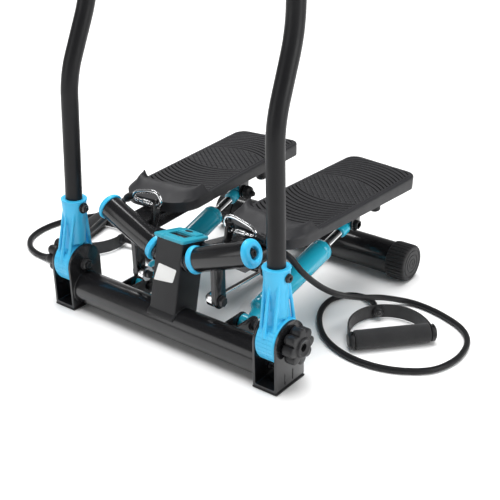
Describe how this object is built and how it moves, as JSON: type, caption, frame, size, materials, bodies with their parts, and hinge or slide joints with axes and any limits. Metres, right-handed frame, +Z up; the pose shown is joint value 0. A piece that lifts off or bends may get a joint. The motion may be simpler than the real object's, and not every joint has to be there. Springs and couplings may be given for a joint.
{
  "type": "stepper",
  "caption": "Twist stepper with hydraulic cylinders, a folding tubular handlebar and resistance cords with foam handles.",
  "frame": {"origin": "on the floor under the middle of the machine, cords left out", "axes": "+X to the machine's right seen from behind the pedals, +Y from the handlebar to the rear foot, +Z up"},
  "size_m": [0.9069, 0.4796, 1.0695],
  "materials": {
    "black_enamel": "gloss black enamel on welded steel",
    "black_tube": "semi-gloss black enamel on round tube",
    "black_hardware": "black oxide bolts, nuts and plates",
    "black_rubber": "matte black rubber",
    "black_plastic": "satin black moulded plastic",
    "grey_plastic": "matte dark grey moulded plastic",
    "cyan_plastic": "satin sky-blue moulded plastic",
    "teal_paint": "gloss blue-green paint on the cylinder",
    "bright_steel": "polished plated steel",
    "foam": "dark foam with a fine cell texture",
    "webbing": "black woven webbing",
    "screen": "dark display window"
  },
  "bodies": {
    "base": {"crossbar": "black_enamel", "bracket_right": "black_enamel", "bracket_left": "black_enamel", "bracket_foot_right": "black_rubber", "bracket_foot_left": "black_rubber", "post": "black_enamel", "spine": "black_enamel", "rear_stabilizer": "black_enamel", "rear_cap_right": "black_plastic", "rear_cap_left": "black_plastic", "post_cap": "cyan_plastic", "display": "screen", "clevis_bolt_right": "black_hardware", "clevis_bolt_left": "black_hardware", "pivot_bolt_right": "black_hardware", "pivot_bolt_left": "black_hardware", "carabiner_right": "bright_steel", "carabiner_left": "bright_steel", "cord_right": "black_rubber", "cord_left": "black_rubber", "handle_strap_right": "webbing", "handle_grip_right": "foam", "handle_strap_left": "webbing", "handle_grip_left": "foam"},
    "reset_button": {"reset_button": "black_rubber"},
    "rocker": {"rocker": "black_hardware"},
    "pedal_assembly_right": {"pedal_frame_right": "black_enamel", "inner_bushing_right": "cyan_plastic", "end_cap_right": "cyan_plastic", "lever_pin_right": "black_hardware", "pedal_right": "grey_plastic", "bumper_right": "black_rubber"},
    "height_knob_right": {"height_knob_right": "black_plastic"},
    "barrel_right": {"cylinder_barrel_right": "teal_paint"},
    "rod_right": {"cylinder_rod_right": "bright_steel"},
    "tie_rod_right": {"tie_rod_right": "bright_steel"},
    "fold_knob_right": {"fold_knob_right": "black_plastic"},
    "gate_right": {"carabiner_gate_right": "bright_steel"},
    "pedal_assembly_left": {"pedal_frame_left": "black_enamel", "inner_bushing_left": "cyan_plastic", "end_cap_left": "cyan_plastic", "lever_pin_left": "black_hardware", "pedal_left": "grey_plastic", "bumper_left": "black_rubber"},
    "height_knob_left": {"height_knob_left": "black_plastic"},
    "barrel_left": {"cylinder_barrel_left": "teal_paint"},
    "rod_left": {"cylinder_rod_left": "bright_steel"},
    "tie_rod_left": {"tie_rod_left": "bright_steel"},
    "fold_knob_left": {"fold_knob_left": "black_plastic"},
    "gate_left": {"carabiner_gate_left": "bright_steel"},
    "handlebar": {"socket_right": "cyan_plastic", "socket_left": "cyan_plastic", "upright_right": "black_tube", "upright_left": "black_tube", "socket_bolt_right": "black_hardware", "socket_bolt_left": "black_hardware", "top_bar": "black_tube", "top_grip_right": "foam", "top_grip_left": "foam"}
  },
  "joints": [
    {"name": "pedal_right_hinge", "type": "hinge", "parent": "base", "child": "pedal_assembly_right", "pos_m": [0.04166, -0.18452, 0.1463], "axis": [0.9358, 0.0655, 0.3463], "range_deg": [-6.5, 6.5]},
    {"name": "pedal_left_hinge", "type": "hinge", "parent": "base", "child": "pedal_assembly_left", "pos_m": [-0.04166, -0.18452, 0.1463], "axis": [0.9358, -0.0655, -0.3463], "range_deg": [-6.6, 6.6]},
    {"name": "barrel_right_hinge", "type": "hinge", "parent": "base", "child": "barrel_right", "pos_m": [0.113, -0.14827, 0.04], "axis": [0.9148, -0.142, 0.3781], "range_deg": [-7, 7]},
    {"name": "rod_right_slide", "type": "slide", "parent": "barrel_right", "child": "rod_right", "axis": [0.0413, 0.9642, 0.2618], "range_m": [-0.016, 0.016]},
    {"name": "tie_rod_right_slide", "type": "slide", "parent": "base", "child": "tie_rod_right", "axis": [0, 1, 0], "range_m": [-0.009, 0.009]},
    {"name": "height_knob_right_turn", "type": "hinge", "parent": "pedal_assembly_right", "child": "height_knob_right", "pos_m": [0.125, 0.13173, 0.116], "axis": [1, 0, 0], "continuous": true},
    {"name": "fold_knob_right_turn", "type": "hinge", "parent": "base", "child": "fold_knob_right", "pos_m": [0.21775, -0.20327, 0.076], "axis": [1, 0, 0], "continuous": true},
    {"name": "gate_right_hinge", "type": "hinge", "parent": "base", "child": "gate_right", "pos_m": [0.1156, -0.14027, 0.193], "axis": [0, 1, 0], "range_deg": [0, 20], "stiffness_Nm_per_rad": 0.08, "springref_deg": -5.73},
    {"name": "barrel_left_hinge", "type": "hinge", "parent": "base", "child": "barrel_left", "pos_m": [-0.113, -0.14827, 0.04], "axis": [0.9148, 0.142, -0.3781], "range_deg": [-7, 7]},
    {"name": "rod_left_slide", "type": "slide", "parent": "barrel_left", "child": "rod_left", "axis": [-0.0413, 0.9642, 0.2618], "range_m": [-0.016, 0.016]},
    {"name": "tie_rod_left_slide", "type": "slide", "parent": "base", "child": "tie_rod_left", "axis": [0, 1, 0], "range_m": [-0.009, 0.009]},
    {"name": "height_knob_left_turn", "type": "hinge", "parent": "pedal_assembly_left", "child": "height_knob_left", "pos_m": [-0.125, 0.13173, 0.116], "axis": [1, 0, 0], "continuous": true},
    {"name": "fold_knob_left_turn", "type": "hinge", "parent": "base", "child": "fold_knob_left", "pos_m": [-0.21775, -0.20327, 0.076], "axis": [1, 0, 0], "continuous": true},
    {"name": "gate_left_hinge", "type": "hinge", "parent": "base", "child": "gate_left", "pos_m": [-0.1156, -0.14027, 0.193], "axis": [0, -1, 0], "range_deg": [0, 20], "stiffness_Nm_per_rad": 0.08, "springref_deg": -5.73},
    {"name": "rocker_hinge", "type": "hinge", "parent": "base", "child": "rocker", "pos_m": [0, -0.03426, 0.073], "axis": [0, 0, 1], "range_deg": [-7, 7]},
    {"name": "handlebar_fold", "type": "hinge", "parent": "base", "child": "handlebar", "pos_m": [0, -0.20327, 0.076], "axis": [1, 0, 0], "range_deg": [-5, 85]},
    {"name": "reset_button_press", "type": "slide", "parent": "base", "child": "reset_button", "axis": [0, 0.232, 0.9727], "range_m": [-0.0025, 0], "stiffness_N_per_m": 500, "springref_m": 0.001}
  ],
  "couplings": [
    {"joint": "barrel_right_hinge", "follows": "pedal_right_hinge", "ratio": 0.9985},
    {"joint": "rod_right_slide", "follows": "pedal_right_hinge", "m_per_rad": 0.12659},
    {"joint": "tie_rod_right_slide", "follows": "pedal_right_hinge", "m_per_rad": 0.07144},
    {"joint": "pedal_left_hinge", "follows": "pedal_right_hinge", "ratio": -1},
    {"joint": "barrel_left_hinge", "follows": "pedal_right_hinge", "ratio": -0.9985},
    {"joint": "rod_left_slide", "follows": "pedal_right_hinge", "m_per_rad": -0.12659},
    {"joint": "tie_rod_left_slide", "follows": "pedal_right_hinge", "m_per_rad": -0.07144},
    {"joint": "rocker_hinge", "follows": "pedal_right_hinge", "ratio": 0.9654}
  ]
}
